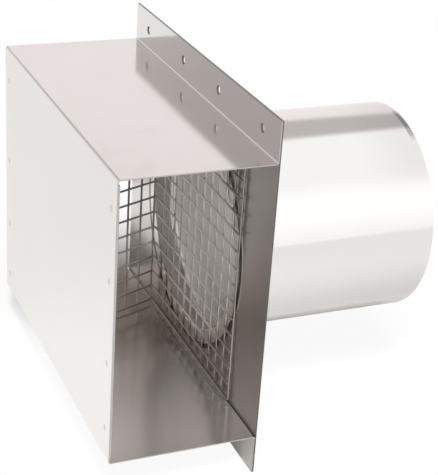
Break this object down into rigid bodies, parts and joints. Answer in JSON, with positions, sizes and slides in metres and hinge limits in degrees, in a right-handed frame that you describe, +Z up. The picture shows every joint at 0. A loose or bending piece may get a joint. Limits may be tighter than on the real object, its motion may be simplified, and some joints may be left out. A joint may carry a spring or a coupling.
{
  "type": "vent termination box",
  "caption": "Stainless wall box that ends a flue: a folded hood open at both sides on a flanged back plate, with a round outlet pipe and a wire bird screen.",
  "frame": {"origin": "on the pipe's axis, at the wall face of the back plate", "axes": "+Y along the pipe into the wall, -Y out of the wall towards the hood's front, +X to one open side, +Z up"},
  "size_m": [0.258, 0.2554, 0.252],
  "materials": {
    "hood": "bright annealed stainless sheet",
    "back_plate": "bright annealed stainless sheet",
    "outlet_pipe": "polished stainless tube",
    "bird_screen": "welded steel wire"
  },
  "bodies": {
    "root": {"hood": "hood", "back_plate": "back_plate", "outlet_pipe": "outlet_pipe", "bird_screen": "bird_screen"}
  },
  "joints": []
}
